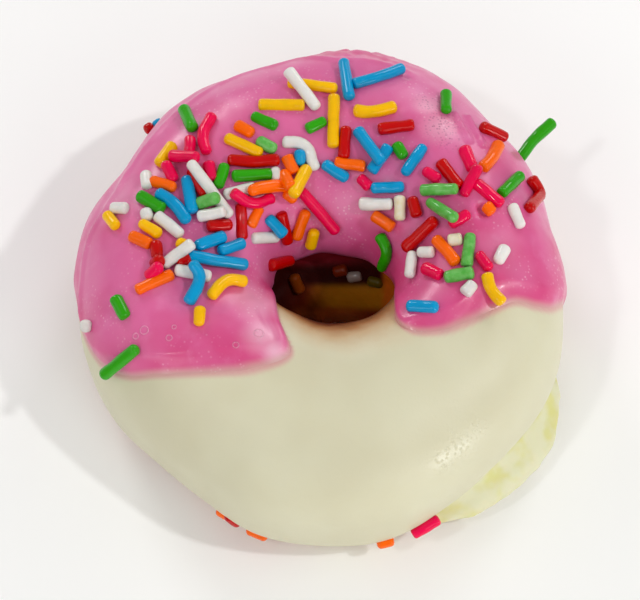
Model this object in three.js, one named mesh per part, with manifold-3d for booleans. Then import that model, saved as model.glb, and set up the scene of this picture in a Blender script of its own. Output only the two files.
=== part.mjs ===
// A yeast-raised ring doughnut: a ring of dough, a coat of white icing over its top, and a coat
// of pink icing over the far half of that, scattered with sugar sprinkles.
// Millimetres, +Z up. The ring rests on z = 0 and the front of the doughnut faces -Y.

import * as THREE from "three";
import Module from "manifold-3d";

const wasm = await Module();
wasm.setup();

// ---------- Driving dimensions ----------

// The ring, measured on the face of the white icing.
const CROWN = 31.4; // height of the top
const WAIST = 15; // height where the ring is widest
const ROUNDNESS = 2.25; // 2 gives an elliptical section, more a boxier one
const ROUNDNESS_BELOW = 3.2; // the same, below the waist
const BASE_OVERRUN = 1.06; // how far the section would run past the flat base it is cut by

// Radii of the plan, anticlockwise from +X at equal angles.
const OUTER_RADII = [
  41.9, 41.2, 42.2, 43.2, 45.0, 46.1, 45.1, 42.7, 42.6, 41.9, 40.6, 41.7,
  41.5, 41.8, 41.2, 39.9, 40.4, 42.6, 43.3, 43.9, 42.9, 43.2, 43.4, 43.0,
];
const HOLE_RADII = [12.6, 11.4, 8.9, 8.4, 8.3, 9.6, 9.0, 7.3, 6.1, 6.3, 7.6, 10.2];
const BASE_HOLE_RADII = [8.4, 3.2, 1.1, 0.7, 1.2, 3.4, 6.6, 7.0, 6.8, 7.2, 7.8, 9.0];
const WALL_FOOT = 1.2; // height where the wall of the hole turns under the base
const UNDER_SHARE = 0.4; // share of the base's half width that the wall turns under by

// The coats.
const GAP = 0.4; // clearance that neighbouring pieces keep
const WHITE_THICKNESS = 1.2;
const PINK_THICKNESS = 0.8;
const LIP_SHARE = 0.03; // share of a coat's length that its rounded lip takes
const LIP_THICKNESS = 0.45; // thickness of the lip's end, against the full one

// Where the coats end on the section, in degrees: 0 is the outer waist, 90 the top, 180 the hole.
const WHITE_OUTER_EDGE = [
  -20, -12, -10, -8, -8, -10, -12, -16, -20, -24, -27, -28, -27, -18, 0, -3,
];
const WHITE_HOLE_EDGE = [168, 176, 178, 178, 178, 178, 178, 178, 176, 174, 172, 168];
const PINK_OUTER_INSET = 6; // the pink coat ends this much short of the white one at the rim
const PINK_HOLE_INSET = 1.5; // and this much short of it in the hole

// The two ends of the pink coat, as plan angles at these section angles.
const PINK_END_STATIONS = [-10, 10, 25, 40, 55, 70, 80, 88, 96, 104, 110, 116, 124, 135, 150, 178];
const PINK_RIGHT_END = [-2, -4, -7, -10.5, -12.5, -14, -18.5, -25, -34, -40, -42, -42, -38.5, -29.5, -16.5, 6];
const PINK_LEFT_END = [178, 187, 203, 211.5, 217, 225, 232, 239.5, 247, 253, 254, 249, 239, 227.5, 212, 188];

// Pale dough that has risen out past the white icing at the front right, below its edge. Its
// height is a share of the way from the edge down to the base.
const BULGE = { plan: 321, planWidth: 52, reach: 6, down: 0.3, downWidth: 0.24 };
const BULGE_START = 2; // degrees that it starts below the edge

// Sugar sprinkles: six-sided rods.
const SPRINKLE_RADIUS = 1.05;
const SPRINKLE_SIDES = 6;
const SPRINKLE_END = 0.8; // length past the last point of its line
const MOST_SPRINKLES = 109; // the longest ones, out of those laid out on the icing
const LINE_HEIGHT = 0.6; // height of a sprinkle's line above the face that it lies on
const SAG = 0.2; // depth below that height that the middle of a long one may reach
const CROSSING = 1.2; // lines closer than this cross, and those further apart lie side by side
const PILE = 1.95; // height from one line to the next where they cross
const MOST_LIFT = 3.2; // height above the face that a pile may lift a line by
const MIDDLE_SHARE = 0.35; // a crossing nearer than this to an end of a line lifts that end alone
const CLOSEST_TRIES = 12; // steps along two lines when looking for where they come closest

// The layout of the sprinkles is drawn on a flat sheet through the middle of the ring, and thrown
// from the eye point onto the doughnut. The sheet's grid counts right and down from its corner.
const SHEET_GRID = 0.174; // one step of the grid
const SHEET_MIDDLE = [320, 298]; // grid point over the middle of the ring
const EYE_TILT = THREE.MathUtils.degToRad(65); // angle of the throw above the horizon
const EYE_DISTANCE = 420;

const RIM_LEVEL = 20; // level at which some stick out past the far rim
const FOOT_LEVEL = 5.6; // level at which others cling to the foot of the white icing
const FOOT_RISE = 2; // degrees that they lie above its lower edge
const FOOT_PROUD = [-0.3, 0.7]; // least and most height of their lines above its face

// Steps of the meshes.
const PLAN_STEPS = 48; // round the ring
const SIDE_STEPS = 6; // up the side of the dough
const TOP_STEPS = 10; // over its top
const WALL_STEPS = 3; // down the wall of its hole
const WHITE_STEPS = 12; // across the white coat
const PINK_STEPS_ACROSS = 14; // across the pink coat
const PINK_STEPS_ALONG = 28; // along it
const TARGET_STEPS = 36; // round the section of the face that sprinkles are thrown onto

// ---------- Layout of the sprinkles ----------
// Each row: colour, then the grid points of its line, two for a straight one and three for a bent
// one. A later row lies on an earlier one that it crosses.

const ON_ICING = [
  // left, from the rim to the hole
  ["green", 184, 110, 192, 127], ["pink", 190, 140, 189, 152], ["yellow", 172, 146, 160, 163],
  ["pink", 166, 165, 173, 178], ["pink", 173, 156, 195, 157], ["pink", 211, 117, 202, 134, 206, 150],
  ["white", 146, 176, 147, 184], ["orange", 154, 181, 172, 187], ["green", 142, 197, 160, 207],
  ["blue", 160, 194, 174, 203, 186, 219], ["blue", 187, 180, 192, 209], ["red", 193, 172, 204, 192],
  ["pink", 209, 166, 211, 177], ["white", 192, 165, 228, 213], ["green", 224, 168, 219, 184],
  ["green", 201, 203, 215, 198], ["white", 202, 216, 221, 212], ["white", 115, 208, 124, 208],
  ["yellow", 108, 216, 115, 225], ["white", 146, 213, 147, 216], ["white", 159, 217, 179, 233],
  ["yellow", 143, 224, 157, 233], ["orange", 134, 237, 147, 243], ["red", 156, 245, 157, 255],
  ["yellow", 180, 243, 184, 245], ["white", 190, 245, 166, 263], ["red", 155, 263, 159, 261],
  ["pink", 150, 275, 158, 267], ["red", 181, 261, 186, 259], ["orange", 139, 289, 170, 275],
  ["white", 179, 270, 207, 276], ["blue", 193, 256, 215, 260, 243, 264],
  ["blue", 194, 265, 201, 278, 190, 300], ["blue", 199, 245, 222, 237], ["blue", 223, 250, 240, 244],
  ["yellow", 213, 294, 226, 279, 243, 281], ["yellow", 200, 310, 199, 322],
  ["red", 211, 226, 228, 225], ["red", 241, 208, 242, 235], ["white", 228, 194, 252, 188],
  ["orange", 253, 190, 268, 186, 286, 186], ["pink", 235, 194, 252, 205, 270, 199],
  ["white", 275, 171, 277, 177], ["green", 236, 176, 268, 174], ["yellow", 229, 139, 258, 152],
  ["red", 232, 160, 252, 162, 275, 160], ["orange", 239, 126, 250, 132],
  ["green", 256, 117, 273, 125], ["green", 261, 142, 272, 148], ["orange", 258, 211, 252, 223],
  ["red", 282, 216, 287, 240], ["blue", 270, 220, 282, 233], ["white", 254, 238, 275, 237],
  ["orange", 305, 214, 297, 236], ["yellow", 314, 233, 311, 245], ["red", 272, 265, 289, 261],
  ["orange", 284, 175, 290, 186], ["orange", 288, 159, 293, 170], ["orange", 287, 194, 293, 199],
  ["yellow", 306, 170, 294, 193], ["blue", 300, 154, 300, 161],
  ["white", 287, 142, 306, 144, 314, 166], ["pink", 303, 193, 335, 230],
  ["green", 117, 301, 124, 314], ["white", 86, 324, 86, 328], ["green", 105, 374, 134, 350],
  // top, from the rim to the hole
  ["yellow", 263, 105, 300, 105], ["yellow", 292, 83, 333, 88], ["white", 290, 73, 315, 105],
  ["blue", 357, 83, 378, 77, 400, 69], ["blue", 344, 63, 349, 95], ["yellow", 334, 99, 333, 143],
  ["yellow", 357, 111, 375, 112, 393, 107], ["green", 310, 128, 322, 122],
  ["red", 346, 130, 344, 155], ["red", 382, 129, 410, 125], ["green", 446, 94, 446, 109],
  ["blue", 326, 165, 345, 177], ["orange", 339, 163, 361, 166], ["blue", 387, 149, 373, 169],
  ["blue", 359, 132, 380, 160], ["green", 398, 147, 402, 154], ["blue", 422, 149, 406, 171],
  ["pink", 362, 180, 367, 185], ["blue", 375, 188, 400, 187], ["white", 363, 204, 389, 204],
  ["white", 400, 200, 400, 216], ["red", 413, 201, 416, 213], ["orange", 376, 217, 390, 226],
  ["green", 381, 238, 388, 252, 382, 267],
  // right, from the rim to the hole
  ["red", 485, 128, 503, 136], ["pink", 465, 150, 472, 168],
  ["orange", 498, 146, 493, 157, 484, 167], ["red", 442, 164, 458, 185],
  ["pink", 478, 185, 499, 202], ["pink", 477, 169, 465, 192], ["pink", 427, 172, 436, 178],
  ["green", 425, 190, 453, 189], ["pink", 453, 223, 466, 215], ["green", 431, 203, 453, 217],
  ["green", 519, 177, 503, 192], ["orange", 488, 208, 490, 210], ["white", 513, 208, 520, 224],
  ["red", 533, 181, 541, 193, 530, 207], ["red", 433, 222, 407, 247],
  ["white", 422, 252, 430, 252], ["white", 412, 256, 410, 273], ["orange", 437, 240, 455, 261],
  ["white", 452, 240, 458, 239], ["green", 470, 238, 467, 262], ["green", 448, 277, 470, 273],
  ["pink", 427, 269, 438, 274], ["pink", 480, 256, 488, 266], ["white", 504, 250, 499, 259],
  ["white", 471, 286, 467, 291], ["yellow", 488, 278, 491, 290, 500, 300],
  ["blue", 411, 306, 434, 307],
];
const AT_RIM = [
  ["green", 521, 157, 534, 139, 551, 124], ["blue", 157, 125, 159, 124], ["red", 148, 129, 150, 128],
];
const AT_FOOT = [
  ["orange", 222, 510, 226, 514], ["red", 230, 516, 237, 520], ["orange", 252, 528, 264, 533],
  ["orange", 380, 543, 389, 541], ["pink", 414, 533, 434, 526],
];
const IN_HOLE = [
  ["white", 352, 277, 357, 276], ["red", 338, 271, 343, 270], ["green", 372, 281, 379, 283],
  ["orange", 294, 278, 299, 289],
];

// ---------- The form of the ring ----------

const degrees = THREE.MathUtils.degToRad;
const smooth = THREE.MathUtils.smoothstep;
const mix = THREE.MathUtils.lerp;

function spline(before, from, to, after, t) {
  const slope = to - before;
  const bend = 2 * before - 5 * from + 4 * to - after;
  const twist = after - before + 3 * (from - to);
  return from + 0.5 * t * (slope + t * (bend + t * twist));
}

// The value at a plan angle of a list that goes round the ring at equal angles.
function around(values, angle) {
  const count = values.length;
  const place = ((angle / 360) * count) % count;
  const wrapped = place < 0 ? place + count : place;
  const index = Math.floor(wrapped);
  const at = (step) => values[(index + step + count) % count];
  return spline(at(-1), at(0), at(1), at(2), wrapped - index);
}

// The value at a section angle of a list that is given at the stations of the pink coat's ends.
function along(values, angle) {
  const stations = PINK_END_STATIONS;
  const last = stations.length - 1;
  let index = 0;
  while (index < last - 1 && angle > stations[index + 1]) index += 1;
  const step = stations[index + 1] - stations[index];
  const t = THREE.MathUtils.clamp((angle - stations[index]) / step, 0, 1);
  const rise = (k) => {
    const [before, after] = [Math.max(k - 1, 0), Math.min(k + 1, last)];
    return ((values[after] - values[before]) / (stations[after] - stations[before])) * step;
  };
  const [start, end] = [rise(index), rise(index + 1)];
  const bend = 3 * (values[index + 1] - values[index]) - 2 * start - end;
  const twist = start + end - 2 * (values[index + 1] - values[index]);
  return values[index] + t * (start + t * (bend + t * twist));
}

function power(value, roundness) {
  return Math.sign(value) * Math.abs(value) ** (2 / roundness);
}

function bump(value, middle, width) {
  return 1 - smooth(Math.abs(value - middle), 0, width);
}

// The turn from one plan angle to another, between -180 and 180 degrees.
function turn(from, to) {
  return THREE.MathUtils.euclideanModulo(to - from + 180, 360) - 180;
}

// A point of the ring at a plan angle and a section angle, a distance inside the white face.
function ringPoint(plan, section, inset) {
  const outer = around(OUTER_RADII, plan) - inset;
  const hole = around(HOLE_RADII, plan) + inset;
  const sine = Math.sin(degrees(section));
  const roundness = sine > 0 ? ROUNDNESS : ROUNDNESS_BELOW;
  const across = power(Math.cos(degrees(section)), roundness);
  const up = power(sine, roundness);
  const radius = (outer + hole) / 2 + ((outer - hole) / 2) * across;
  const height = up > 0 ? (CROWN - inset - WAIST) * up : WAIST * BASE_OVERRUN * up;
  return polar(plan, radius, Math.max(0, WAIST + height));
}

function polar(plan, radius, height) {
  const angle = degrees(plan);
  return new THREE.Vector3(radius * Math.cos(angle), radius * Math.sin(angle), height);
}

// One loop of the dough: up its outer side from the base to just below the white icing, over the
// top into the hole, and down the wall of the hole and back under the base.
function doughLoop(plan) {
  const inset = WHITE_THICKNESS + GAP;
  const edge = around(WHITE_OUTER_EDGE, plan) - BULGE_START;
  const bulge = BULGE.reach * bump(turn(BULGE.plan, plan), 0, BULGE.planWidth);
  const side = steps(SIDE_STEPS).map((share) => {
    const point = ringPoint(plan, mix(-90, edge, share), inset);
    const out = bulge * bump(1 - share, BULGE.down, BULGE.downWidth);
    return polar(plan, Math.hypot(point.x, point.y) + out, point.z);
  });
  const top = steps(TOP_STEPS).map((share) => ringPoint(plan, mix(edge, 180, share), inset));
  return [...side, ...top, ...holeWall(plan, inset)];
}

// The hole closes in and leans towards the front as it goes down, so its far wall is a slope.
function holeWall(plan, inset) {
  const hole = around(HOLE_RADII, plan) + inset;
  const baseHole = around(BASE_HOLE_RADII, plan);
  const middle = (around(OUTER_RADII, plan) - inset + hole) / 2;
  const wall = [...steps(WALL_STEPS), 1].map((share) =>
    polar(plan, mix(hole, baseHole, smooth(share, 0, 1)), mix(WAIST, WALL_FOOT, share)),
  );
  return [...wall, polar(plan, mix(baseHole, middle, UNDER_SHARE), 0)];
}

// Equal shares from 0 up to, but not at, 1.
function steps(count) {
  return Array.from({ length: count }, (_, step) => step / count);
}

// ---------- Solids ----------

// Joins loops of points into one closed solid. The loops go round the ring, or, where they don't,
// a ladder of triangles closes each end.
function skin(loops, goesRound) {
  const count = loops[0].length;
  const triangles = [];
  const spans = goesRound ? loops.length : loops.length - 1;
  for (let span = 0; span < spans; span += 1) {
    const here = span * count;
    const next = ((span + 1) % loops.length) * count;
    for (let k = 0; k < count; k += 1) {
      const l = (k + 1) % count;
      triangles.push(here + k, next + k, next + l, here + k, next + l, here + l);
    }
  }
  if (!goesRound) {
    const far = (loops.length - 1) * count;
    for (let k = 0; k < count / 2 - 1; k += 1) {
      const [a, b, c, d] = [k, k + 1, count - 2 - k, count - 1 - k];
      triangles.push(a, b, c, a, c, d, far + a, far + c, far + b, far + a, far + d, far + c);
    }
  }
  const positions = loops.flat().flatMap((point) => point.toArray());
  return new wasm.Manifold(
    new wasm.Mesh({
      numProp: 3,
      vertProperties: new Float32Array(positions),
      triVerts: new Uint32Array(triangles),
    }),
  );
}

// One loop of a coat: along its outer face from one edge to the other, and back along its inner
// face. It is thinner at its edges, and where fullness is less than 1.
function coatLoop(from, to, count, pointAt, innerInset, thickness, fullness) {
  const outer = [];
  const inner = [];
  for (let step = 0; step <= count; step += 1) {
    const section = mix(from, to, coatShare(step, count));
    const full = Math.min(fullness, lipThickness(step, count));
    outer.push(pointAt(section, innerInset - thickness * full));
    inner.unshift(pointAt(section, innerInset));
  }
  return [...outer, ...inner];
}

// Shares along a coat: one short step at each edge for its lip, and even ones between.
function coatShare(step, last) {
  if (step === 0) return 0;
  if (step === last) return 1;
  return mix(LIP_SHARE, 1 - LIP_SHARE, (step - 1) / (last - 2));
}

function lipThickness(step, last) {
  return step === 0 || step === last ? LIP_THICKNESS : 1;
}

function planAngles() {
  return steps(PLAN_STEPS).map((share) => share * 360);
}

function ringOf(loopAt) {
  return skin(planAngles().map(loopAt), true);
}

function whiteLoop(plan) {
  const from = around(WHITE_OUTER_EDGE, plan);
  const to = around(WHITE_HOLE_EDGE, plan);
  const pointAt = (section, inset) => ringPoint(plan, section, inset);
  return coatLoop(from, to, WHITE_STEPS, pointAt, WHITE_THICKNESS, WHITE_THICKNESS, 1);
}

function pinkCoat() {
  const loops = [];
  for (let step = 0; step <= PINK_STEPS_ALONG; step += 1) {
    const share = coatShare(step, PINK_STEPS_ALONG);
    const full = lipThickness(step, PINK_STEPS_ALONG);
    const planAt = (section) => mix(along(PINK_RIGHT_END, section), along(PINK_LEFT_END, section), share);
    const from = around(WHITE_OUTER_EDGE, planAt(0)) + PINK_OUTER_INSET;
    const to = around(WHITE_HOLE_EDGE, planAt(180)) - PINK_HOLE_INSET;
    const pointAt = (section, inset) => ringPoint(planAt(section), section, inset);
    loops.push(coatLoop(from, to, PINK_STEPS_ACROSS, pointAt, -GAP, PINK_THICKNESS, full));
  }
  return skin(loops, false);
}

// ---------- Sprinkles ----------

const SHEET_RIGHT = new THREE.Vector3(1, 0, 0);
const SHEET_UP = new THREE.Vector3(0, Math.sin(EYE_TILT), Math.cos(EYE_TILT));
const TO_EYE = new THREE.Vector3(0, -Math.cos(EYE_TILT), Math.sin(EYE_TILT));
const RING_MIDDLE = new THREE.Vector3(0, 0, WAIST);
const EYE = RING_MIDDLE.clone().addScaledVector(TO_EYE, EYE_DISTANCE);

function sheetPoint([right, down]) {
  return RING_MIDDLE.clone()
    .addScaledVector(SHEET_RIGHT, (right - SHEET_MIDDLE[0]) * SHEET_GRID)
    .addScaledVector(SHEET_UP, (SHEET_MIDDLE[1] - down) * SHEET_GRID);
}

// Throws a grid point onto a level.
function onLevel(place, level) {
  const direction = sheetPoint(place).sub(EYE);
  return EYE.clone().addScaledVector(direction, (level - EYE.z) / direction.z);
}

// Throws grid points onto a target mesh, or, where they miss that, onto the level of the rim.
function throwOnto(target) {
  const caster = new THREE.Raycaster();
  return (place) => {
    caster.set(EYE, sheetPoint(place).sub(EYE).normalize());
    const [hit] = caster.intersectObject(target);
    return hit ? hit.point : onLevel(place, RIM_LEVEL);
  };
}

// The point at the foot of the white icing's face that a grid point is thrown next to.
function atFoot(place) {
  const near = onLevel(place, FOOT_LEVEL);
  const plan = THREE.MathUtils.radToDeg(Math.atan2(near.y, near.x));
  const section = around(WHITE_OUTER_EDGE, plan) + FOOT_RISE;
  const face = ringPoint(plan, section, 0);
  const { x, y } = onLevel(place, face.z);
  const proud = Math.hypot(x, y) - Math.hypot(face.x, face.y);
  return ringPoint(plan, section, -THREE.MathUtils.clamp(proud, ...FOOT_PROUD));
}

function atRim(place) {
  return onLevel(place, RIM_LEVEL);
}

// A ring as a target to throw at.
function target(loopAt) {
  const mesh = new THREE.Mesh(geometryOf(ringOf(loopAt)));
  mesh.updateMatrixWorld();
  return mesh;
}

function pairs(numbers) {
  return Array.from({ length: numbers.length / 2 }, (_, k) => numbers.slice(2 * k, 2 * k + 2));
}

function towardsEye(point, lift) {
  return point.clone().addScaledVector(EYE.clone().sub(point).normalize(), lift);
}

function nearness(point) {
  return point.clone().sub(RING_MIDDLE).dot(TO_EYE);
}

// The place at a share of a line of places, heights or any lists of numbers.
function placeAlong(places, share) {
  const reach = share * (places.length - 1);
  const index = Math.min(Math.floor(reach), places.length - 2);
  return places[index].map((value, axis) => mix(value, places[index + 1][axis], reach - index));
}

// Where two lines on the sheet come closest: the share along each, and the distance between them.
function closest(first, second) {
  let best = { distance: Infinity };
  for (let i = 0; i <= CLOSEST_TRIES; i += 1) {
    for (let j = 0; j <= CLOSEST_TRIES; j += 1) {
      const [a, b] = [i / CLOSEST_TRIES, j / CLOSEST_TRIES];
      const [x, y] = placeAlong(first, a);
      const [u, v] = placeAlong(second, b);
      const distance = Math.hypot(x - u, y - v) * SHEET_GRID;
      if (distance < best.distance) best = { distance, onFirst: a, onSecond: b };
    }
  }
  return best;
}

// The lines of the sprinkles in space. They are lifted along their sight lines until the middle
// of each clears the icing's crown and it rests on the sprinkles that it crosses.
function settle(layout, throwAt) {
  const settled = [];
  for (const [, ...numbers] of layout) {
    const places = pairs(numbers);
    const points = places.map(throwAt);
    const near = points.map((point) => [nearness(point)]);
    const lifts = [0, 0];
    if (places.length === 2) {
      const clear = nearness(throwAt(placeAlong(places, 0.5))) - placeAlong(near, 0.5)[0] - SAG;
      lifts.fill(Math.max(0, clear));
    }
    for (const other of settled) {
      const { distance, onFirst, onSecond } = closest(places, other.places);
      if (distance >= CROSSING) continue;
      const height = placeAlong(near, onFirst)[0] + mix(...lifts, onFirst);
      const missing = placeAlong(other.heights, onSecond)[0] + PILE - height;
      if (missing > 0) liftEnd(lifts, onFirst, missing);
    }
    lifts.forEach((lift, end) => (lifts[end] = Math.min(lift, MOST_LIFT)));
    const raised = points.map((point, k) => towardsEye(point, mix(...lifts, k / (points.length - 1))));
    settled.push({ places, line: raised, heights: raised.map((point) => [nearness(point)]) });
  }
  return settled.map(({ line }) => line);
}

// Lifts a line by a height at a share of its length: one end where that is near the end, or both.
function liftEnd(lifts, share, height) {
  if (share > 1 - MIDDLE_SHARE) lifts[1] += height / share;
  else if (share < MIDDLE_SHARE) lifts[0] += height / (1 - share);
  else lifts.forEach((lift, end) => (lifts[end] = lift + height));
}

// A rod along a line, with flat ends a little past the line's own.
function rod(line) {
  const last = line.length - 1;
  const start = line[1].clone().sub(line[0]).normalize();
  const end = line[last].clone().sub(line[last - 1]).normalize();
  const stretched = [...line];
  stretched[0] = line[0].clone().addScaledVector(start, -SPRINKLE_END);
  stretched[last] = line[last].clone().addScaledVector(end, SPRINKLE_END);
  const loops = stretched.map((centre, k) => {
    const way = stretched[Math.min(k + 1, last)].clone().sub(stretched[Math.max(k - 1, 0)]).normalize();
    const side = way.clone().cross(TO_EYE).normalize();
    const top = side.clone().cross(way).normalize();
    return Array.from({ length: SPRINKLE_SIDES }, (_, corner) => {
      const angle = (corner / SPRINKLE_SIDES) * 2 * Math.PI;
      return centre
        .clone()
        .addScaledVector(side, SPRINKLE_RADIUS * Math.cos(angle))
        .addScaledVector(top, SPRINKLE_RADIUS * Math.sin(angle));
    });
  });
  return skin(loops, false);
}

function lineLength(line) {
  return line.slice(1).reduce((sum, point, k) => sum + point.distanceTo(line[k]), 0);
}

// Fuses rods along the longest of the lines to a solid.
function fuse(solid, lines, most = Infinity) {
  const longest = lines.toSorted((a, b) => lineLength(b) - lineLength(a)).slice(0, most);
  return longest.reduce((sum, line) => sum.add(rod(line)), solid);
}

// ---------- The doughnut ----------

function geometryOf(solid) {
  const { vertProperties, triVerts } = solid.getMesh();
  const geometry = new THREE.BufferGeometry();
  geometry.setAttribute("position", new THREE.BufferAttribute(vertProperties, 3));
  geometry.setIndex(new THREE.BufferAttribute(triVerts, 1));
  geometry.computeVertexNormals();
  return geometry;
}

// The whole ring a height above the face of the white icing, as a target to throw at.
function faceAbove(height) {
  return target((plan) => steps(TARGET_STEPS).map((share) => ringPoint(plan, share * 360, -height)));
}

const onPink = throwOnto(faceAbove(GAP + PINK_THICKNESS + LINE_HEIGHT));
const inHole = throwOnto(target(doughLoop));

const dough = fuse(ringOf(doughLoop), settle(IN_HOLE, inHole));
const whiteIcing = fuse(ringOf(whiteLoop), settle(AT_FOOT, atFoot));
const onIcing = [...settle(ON_ICING, onPink), ...settle(AT_RIM, atRim)];
const pinkIcing = fuse(pinkCoat(), onIcing, MOST_SPRINKLES);

const PIECES = [
  { name: "dough", solid: dough, color: "#c58a48", roughness: 0.7 },
  { name: "white_icing", solid: whiteIcing, color: "#ddd8c0", roughness: 0.3 },
  { name: "pink_icing", solid: pinkIcing, color: "#d8689e", roughness: 0.3 },
];

const doughnut = new THREE.Group();
for (const { name, solid, color, roughness } of PIECES) {
  const material = new THREE.MeshStandardMaterial({ color, roughness, metalness: 0 });
  const mesh = new THREE.Mesh(geometryOf(solid), material);
  mesh.name = name;
  doughnut.add(mesh);
}

// The origin is under the middle of the whole doughnut's box.
const middle = new THREE.Box3().setFromObject(doughnut).getCenter(new THREE.Vector3());
doughnut.position.set(-middle.x, -middle.y, 0);

export default doughnut;
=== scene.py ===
"""An iced ring doughnut with sugar sprinkles, dressed around its CAD frame.

The form is worked out in millimetres with the axis of the ring as origin, and moved onto the frame
when a mesh is made. Angles are in degrees: a plan angle goes round the ring, anticlockwise from +X,
and a section angle goes round the section, 0 at the outer waist, 90 at the top, 180 in the hole.
"""

import math

import bpy
import numpy as np
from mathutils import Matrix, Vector
from mathutils.bvhtree import BVHTree


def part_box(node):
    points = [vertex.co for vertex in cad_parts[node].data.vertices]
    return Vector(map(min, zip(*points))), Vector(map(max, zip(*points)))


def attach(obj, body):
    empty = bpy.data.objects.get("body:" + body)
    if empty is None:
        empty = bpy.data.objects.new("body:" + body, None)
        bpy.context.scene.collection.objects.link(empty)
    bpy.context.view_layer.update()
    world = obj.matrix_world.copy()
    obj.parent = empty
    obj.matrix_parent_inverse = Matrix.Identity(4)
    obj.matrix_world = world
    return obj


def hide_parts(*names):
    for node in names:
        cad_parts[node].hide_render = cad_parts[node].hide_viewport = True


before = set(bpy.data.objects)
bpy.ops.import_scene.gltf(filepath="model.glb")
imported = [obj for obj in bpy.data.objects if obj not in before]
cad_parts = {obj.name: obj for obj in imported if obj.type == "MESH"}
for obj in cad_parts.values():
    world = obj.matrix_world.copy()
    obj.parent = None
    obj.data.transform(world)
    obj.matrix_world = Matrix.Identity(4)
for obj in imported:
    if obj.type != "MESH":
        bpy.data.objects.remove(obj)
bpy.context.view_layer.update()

MM = 0.001

# ---------- Driving dimensions, as in the CAD model ----------

# The ring, measured on the face of the white icing.
CROWN = 31.4  # height of the top
WAIST = 15  # height where the ring is widest
ROUNDNESS = 2.25  # 2 gives an elliptical section, more a boxier one
ROUNDNESS_BELOW = 3.2  # the same, below the waist
BASE_OVERRUN = 1.06  # how far the section would run past the flat base it is cut by
OUTER_RADII = [
    41.9, 41.2, 42.2, 43.2, 45.0, 46.1, 45.1, 42.7, 42.6, 41.9, 40.6, 41.7,
    41.5, 41.8, 41.2, 39.9, 40.4, 42.6, 43.3, 43.9, 42.9, 43.2, 43.4, 43.0,
]
HOLE_RADII = [12.6, 11.4, 8.9, 8.4, 8.3, 9.6, 9.0, 7.3, 6.1, 6.3, 7.6, 10.2]
BASE_HOLE_RADII = [8.4, 3.2, 1.1, 0.7, 1.2, 3.4, 6.6, 7.0, 6.8, 7.2, 7.8, 9.0]
WALL_FOOT = 1.2  # height where the wall of the hole turns under the base
UNDER_SHARE = 0.4  # share of the base's half width that the wall turns under by

GAP = 0.4  # between the CAD model's pieces
WHITE_THICKNESS = 1.2
PINK_THICKNESS = 0.8
WHITE_OUTER_EDGE = [-20, -12, -10, -8, -8, -10, -12, -16, -20, -24, -27, -28, -27, -18, 0, -3]
WHITE_HOLE_EDGE = [168, 176, 178, 178, 178, 178, 178, 178, 176, 174, 172, 168]
PINK_OUTER_INSET = 6  # degrees that the pink ends short of the white at the rim
PINK_HOLE_INSET = 1.5  # and in the hole
# The two ends of the pink coat, as plan angles at these section angles.
PINK_END_STATIONS = [-10, 10, 25, 40, 55, 70, 80, 88, 96, 104, 110, 116, 124, 135, 150, 178]
PINK_RIGHT_END = [
    -2, -4, -7, -10.5, -12.5, -14, -18.5, -25, -34, -40, -42, -42, -38.5, -29.5, -16.5, 6,
]
PINK_LEFT_END = [
    178, 187, 203, 211.5, 217, 225, 232, 239.5, 247, 253, 254, 249, 239, 227.5, 212, 188,
]

# Pale dough that has risen out past the white icing, below its edge.
BULGE_PLAN = 321
BULGE_PLAN_WIDTH = 52
BULGE_REACH = 6
BULGE_DOWN = 0.3  # share of the way from the icing's edge down to the base
BULGE_DOWN_WIDTH = 0.24
BULGE_START = 2  # degrees that it starts below the edge

SPRINKLE_RADIUS = 1.05
SPRINKLE_END = 0.8  # length past the last point of its line
LINE_HEIGHT = 0.6  # of a sprinkle's line above the face that it lies on
SAG = 0.2  # how far the middle of a long one may sink below that height
CROSSING = 1.2  # lines closer than this cross
PILE = 1.95  # height from one line to the next where they cross
MOST_LIFT = 3.2  # height that a pile may lift a line by
MIDDLE_SHARE = 0.35  # a crossing nearer than this to an end of a line lifts that end alone
CLOSEST_TRIES = 12  # steps along a line when looking for where it crosses another

# The photo is thrown from its eye point, by way of a flat sheet through the middle of the ring.
PHOTO_SIZE = (640, 600)
SHEET_GRID = 0.174  # one pixel of the photo, on the sheet
SHEET_MIDDLE = (320, 298)  # pixel at the middle of the ring
EYE_TILT = math.radians(65)
EYE_DISTANCE = 420

RIM_LEVEL = 20  # where some sprinkles stick out past the far rim
FOOT_LEVEL = 5.6  # where others cling to the foot of the white icing
FOOT_RISE = 2  # degrees that they lie above its lower edge
FOOT_PROUD = [-0.3, 0.7]  # least and most height of their lines above its face

# The CAD model's white icing, which the place of the ring's axis is found by.
CAD_PLAN_STEPS = 48
CAD_COAT_STEPS = 12
CAD_LIP_SHARE = 0.03
CAD_LIP_THICKNESS = 0.45

# ---------- Layout of the sprinkles ----------
# Each row: colour, then the photo's pixels along its line, two for a straight one and three for a
# bent one. A later row lies on an earlier one that it crosses.

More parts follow.
